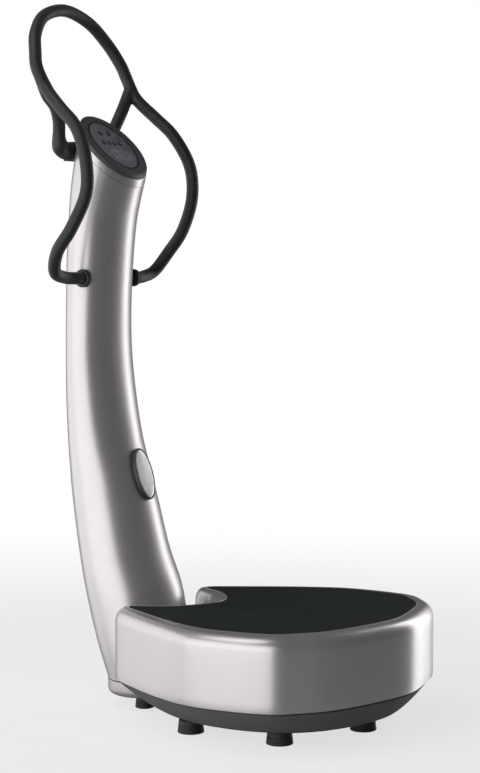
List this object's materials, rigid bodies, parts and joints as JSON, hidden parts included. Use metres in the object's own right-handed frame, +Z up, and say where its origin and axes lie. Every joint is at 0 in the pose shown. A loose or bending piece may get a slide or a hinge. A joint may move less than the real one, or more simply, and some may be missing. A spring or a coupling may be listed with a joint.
{
  "type": "vibration plate",
  "caption": "Whole-body vibration machine: a heart-shaped sprung platform with a rubber mat, a curved leaning column, an inclined console and a looped foam handle.",
  "frame": {"origin": "on the floor, under the middle of the overall box", "axes": "+Z up; the user stands on the mat and faces +Y, towards the column; +X is the user's right"},
  "size_m": [0.6858, 0.8772, 1.5452],
  "materials": {
    "cover_silver": "metallic silver paint with a satin sheen",
    "column_silver": "metallic silver paint with a satin sheen",
    "mat_rubber": "fine-grained matt rubber",
    "foot_rubber": "matt moulded rubber",
    "isolator_rubber": "matt moulded rubber",
    "handle_foam": "smooth closed-cell foam",
    "handle_fitting": "matt moulded plastic",
    "handle_steel": "drawn steel tube",
    "pan_plastic": "grained moulded plastic",
    "shoe_plastic": "silver-grey moulded plastic",
    "frame_steel": "black powder coat over steel",
    "motor_casting": "painted casting",
    "controller_case": "folded sheet",
    "rotor_steel": "machined steel",
    "badge_silver": "silver film under a clear coat",
    "badge_rim": "dark moulded plastic",
    "console_rim": "grained dark plastic",
    "console_lens": "printed film under a clear coat",
    "display": "liquid crystal cell",
    "board": "printed circuit board",
    "button_rubber": "moulded keypad rubber",
    "mains_plastic": "moulded plastic"
  },
  "bodies": {
    "stand": {"base_pan": "pan_plastic", "chassis_plate": "frame_steel", "foot_front": "foot_rubber", "foot_front_left": "foot_rubber", "foot_front_right": "foot_rubber", "foot_middle_left": "foot_rubber", "foot_middle_right": "foot_rubber", "foot_rear_left": "foot_rubber", "foot_rear_right": "foot_rubber", "isolator_front_left": "isolator_rubber", "isolator_front_right": "isolator_rubber", "isolator_rear_left": "isolator_rubber", "isolator_rear_right": "isolator_rubber", "motor_controller": "controller_case", "column_shoe": "shoe_plastic", "post_flange": "frame_steel", "column_post": "frame_steel", "head_bracket": "frame_steel", "column_shell": "column_silver", "column_rear_cover": "column_silver", "badge": "badge_silver", "badge_ring": "badge_rim", "console_housing": "column_silver", "console_rim": "console_rim", "console_lens": "console_lens", "display": "display", "control_board": "board", "mains_panel": "mains_plastic", "mains_inlet": "mains_plastic", "handle_tube": "handle_steel", "grip_sleeve_left": "handle_foam", "grip_sleeve_right": "handle_foam", "hoop_sleeve": "handle_foam", "collar_left": "handle_fitting", "collar_right": "handle_fitting", "support_tube_left": "handle_steel", "support_tube_right": "handle_steel", "support_sleeve_left": "handle_foam", "support_sleeve_right": "handle_foam", "support_elbow_left": "handle_fitting", "support_elbow_right": "handle_fitting", "support_bracket": "handle_fitting"},
    "plate": {"plate_cover": "cover_silver", "mat": "mat_rubber", "deck": "frame_steel", "motor_left": "motor_casting", "motor_right": "motor_casting"},
    "rotor_left": {"rotor_shaft_left": "rotor_steel", "eccentric_front_left": "rotor_steel", "eccentric_rear_left": "rotor_steel"},
    "rotor_right": {"rotor_shaft_right": "rotor_steel", "eccentric_front_right": "rotor_steel", "eccentric_rear_right": "rotor_steel"},
    "button_start": {"button_start": "button_rubber"},
    "button_stop": {"button_stop": "button_rubber"},
    "button_time": {"button_time": "button_rubber"},
    "button_level": {"button_level": "button_rubber"},
    "button_down": {"button_down": "button_rubber"},
    "button_up": {"button_up": "button_rubber"},
    "switch": {"power_switch": "mains_plastic"}
  },
  "joints": [
    {"name": "plate_bounce", "type": "slide", "parent": "stand", "child": "plate", "axis": [0, 0, 1], "range_m": [-0.002, 0.002], "stiffness_N_per_m": 400000, "springref_m": 0.0011, "deforming": ["isolator_front_left", "isolator_front_right", "isolator_rear_left", "isolator_rear_right"]},
    {"name": "rotor_left_spin", "type": "hinge", "parent": "plate", "child": "rotor_left", "pos_m": [-0.075, -0.15, 0.1566], "axis": [0, 1, 0], "continuous": true},
    {"name": "rotor_right_spin", "type": "hinge", "parent": "plate", "child": "rotor_right", "pos_m": [0.075, -0.15, 0.1566], "axis": [0, 1, 0], "continuous": true},
    {"name": "button_start_press", "type": "slide", "parent": "stand", "child": "button_start", "axis": [0, 0.7314, -0.682], "range_m": [0, 0.001], "stiffness_N_per_m": 400, "springref_m": -0.001},
    {"name": "button_stop_press", "type": "slide", "parent": "stand", "child": "button_stop", "axis": [0, 0.7314, -0.682], "range_m": [0, 0.001], "stiffness_N_per_m": 400, "springref_m": -0.001},
    {"name": "button_time_press", "type": "slide", "parent": "stand", "child": "button_time", "axis": [0, 0.7314, -0.682], "range_m": [0, 0.001], "stiffness_N_per_m": 400, "springref_m": -0.001},
    {"name": "button_level_press", "type": "slide", "parent": "stand", "child": "button_level", "axis": [0, 0.7314, -0.682], "range_m": [0, 0.001], "stiffness_N_per_m": 400, "springref_m": -0.001},
    {"name": "button_down_press", "type": "slide", "parent": "stand", "child": "button_down", "axis": [0, 0.7314, -0.682], "range_m": [0, 0.001], "stiffness_N_per_m": 400, "springref_m": -0.001},
    {"name": "button_up_press", "type": "slide", "parent": "stand", "child": "button_up", "axis": [0, 0.7314, -0.682], "range_m": [0, 0.001], "stiffness_N_per_m": 400, "springref_m": -0.001},
    {"name": "power_switch_rock", "type": "hinge", "parent": "stand", "child": "switch", "pos_m": [0.019, 0.279, 0.112], "axis": [1, 0, 0], "range_deg": [0, 16]}
  ],
  "couplings": [
    {"joint": "rotor_right_spin", "follows": "rotor_left_spin", "ratio": -1}
  ]
}
